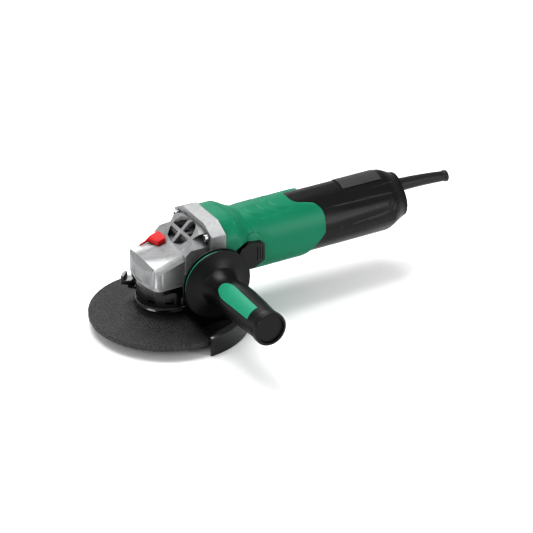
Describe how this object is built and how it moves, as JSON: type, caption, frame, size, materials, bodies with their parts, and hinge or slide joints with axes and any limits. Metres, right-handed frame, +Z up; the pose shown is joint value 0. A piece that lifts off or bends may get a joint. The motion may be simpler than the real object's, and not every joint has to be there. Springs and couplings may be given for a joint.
{
  "type": "angle grinder",
  "caption": "Mains angle grinder with a depressed-centre disc, half guard, side handle, aluminium gear head, green motor housing and black rear housing.",
  "frame": {"origin": "on the spindle axis, at the centre of the lower end face of the spindle", "axes": "+Z up along the spindle into the gear head, +X back along the motor axis, side handle along -Y"},
  "size_m": [0.39, 0.2338, 0.1068],
  "materials": {
    "cast_alloy": "shot-blasted die-cast aluminium",
    "black_steel": "gloss black coated steel",
    "red_plastic": "moulded red plastic",
    "abrasive": "resin-bonded grit with a glass-fibre weave",
    "green_plastic": "fine spark-eroded texture",
    "green_soft": "soft moulded green elastomer",
    "black_plastic": "fine textured glass-filled plastic",
    "label_film": "plain printed film without text",
    "black_rubber": "smooth moulded rubber",
    "copper": "enamelled wire and machined bars",
    "brass": "drawn brass",
    "carbon": "pressed carbon",
    "lamination": "stacked steel sheet",
    "resin": "potting resin",
    "bright_steel": "turned and zinc-plated steel"
  },
  "bodies": {
    "frame_body": {"motor_housing": "green_plastic", "rear_housing": "black_plastic", "gear_housing": "cast_alloy", "handle_body": "black_plastic", "bearing_cover": "black_steel", "cable_sleeve": "black_rubber", "stator_core": "lamination", "handle_plate": "black_plastic", "lock_spring": "bright_steel", "handle_inlay_upper": "green_soft", "handle_inlay_lower": "green_soft", "handle_damper": "green_soft", "air_baffle": "black_plastic", "spindle_bearing_outer": "bright_steel", "front_bearing_outer": "bright_steel", "rear_bearing_outer": "bright_steel", "needle_bush": "bright_steel", "field_coil_upper": "copper", "field_coil_lower": "copper", "cover_screw_1": "bright_steel", "cover_screw_2": "bright_steel", "cover_screw_3": "bright_steel", "cover_screw_4": "bright_steel", "head_screw_1": "bright_steel", "head_screw_2": "bright_steel", "head_screw_3": "bright_steel", "head_screw_4": "bright_steel", "handle_stud": "bright_steel", "rating_plate": "label_film", "cord_clamp": "black_plastic", "brush_holder_right": "brass", "brush_holder_left": "brass", "switch_module": "black_plastic", "electronics_module": "resin"},
    "spindle_body": {"spindle": "bright_steel", "inner_flange": "bright_steel", "grinding_disc": "abrasive", "clamping_nut": "bright_steel", "crown_gear": "bright_steel", "spindle_bearing_inner": "bright_steel"},
    "armature_body": {"armature_shaft": "bright_steel", "armature_core": "lamination", "winding_front": "copper", "winding_rear": "copper", "commutator": "copper", "fan": "black_plastic", "pinion_gear": "bright_steel", "front_bearing_inner": "bright_steel", "rear_bearing_inner": "bright_steel"},
    "spindle_cage_body": {"spindle_bearing_cage": "bright_steel"},
    "front_cage_body": {"front_bearing_cage": "bright_steel"},
    "rear_cage_body": {"rear_bearing_cage": "bright_steel"},
    "guard_body": {"guard_shell": "black_steel"},
    "guard_lever_body": {"guard_lever": "black_steel"},
    "lock_slide_body": {"lock_slide": "red_plastic"},
    "lock_pin_body": {"lock_pin": "bright_steel"},
    "switch_body": {"switch_slider": "black_plastic", "switch_rod": "black_plastic"},
    "brush_left_body": {"carbon_brush_left": "carbon"},
    "brush_right_body": {"carbon_brush_right": "carbon"}
  },
  "joints": [
    {"name": "spindle_spin", "type": "hinge", "parent": "frame_body", "child": "spindle_body", "pos_m": [0, 0, 0.03], "axis": [0, 0, 1], "continuous": true},
    {"name": "armature_spin", "type": "hinge", "parent": "frame_body", "child": "armature_body", "pos_m": [0.1, 0, 0.061], "axis": [1, 0, 0], "continuous": true},
    {"name": "spindle_cage_spin", "type": "hinge", "parent": "frame_body", "child": "spindle_cage_body", "pos_m": [0, 0, 0.0305], "axis": [0, 0, 1], "continuous": true},
    {"name": "front_cage_spin", "type": "hinge", "parent": "frame_body", "child": "front_cage_body", "pos_m": [0.0355, 0, 0.061], "axis": [1, 0, 0], "continuous": true},
    {"name": "rear_cage_spin", "type": "hinge", "parent": "frame_body", "child": "rear_cage_body", "pos_m": [0.1605, 0, 0.061], "axis": [1, 0, 0], "continuous": true},
    {"name": "guard_turn", "type": "hinge", "parent": "frame_body", "child": "guard_body", "pos_m": [0, 0, 0.02], "axis": [0, 0, 1], "range_deg": [-70, 90]},
    {"name": "guard_lever_swing", "type": "hinge", "parent": "guard_body", "child": "guard_lever_body", "pos_m": [-0.02523, 0.02353, 0.031], "axis": [0, 0, 1], "range_deg": [-12, 0], "stiffness_Nm_per_rad": 0.05},
    {"name": "lock_slide_push", "type": "slide", "parent": "frame_body", "child": "lock_slide_body", "axis": [-0.9598, 0, -0.2807], "range_m": [0, 0.005], "stiffness_N_per_m": 200},
    {"name": "lock_pin_drop", "type": "slide", "parent": "frame_body", "child": "lock_pin_body", "axis": [0, 0, -1], "range_m": [0, 0.0025]},
    {"name": "switch_slide", "type": "slide", "parent": "frame_body", "child": "switch_body", "axis": [-1, 0, 0], "range_m": [0, 0.008]},
    {"name": "brush_left_lift", "type": "slide", "parent": "frame_body", "child": "brush_left_body", "axis": [0, -1, 0], "range_m": [0, 0.004], "stiffness_N_per_m": 150},
    {"name": "brush_right_lift", "type": "slide", "parent": "frame_body", "child": "brush_right_body", "axis": [0, 1, 0], "range_m": [0, 0.004], "stiffness_N_per_m": 150}
  ],
  "couplings": [
    {"joint": "armature_spin", "follows": "spindle_spin", "ratio": 3.7273},
    {"joint": "spindle_cage_spin", "follows": "spindle_spin", "ratio": 0.4},
    {"joint": "front_cage_spin", "follows": "spindle_spin", "ratio": 1.4909},
    {"joint": "rear_cage_spin", "follows": "spindle_spin", "ratio": 1.4909},
    {"joint": "lock_pin_drop", "follows": "lock_slide_push", "ratio": 0.5}
  ]
}
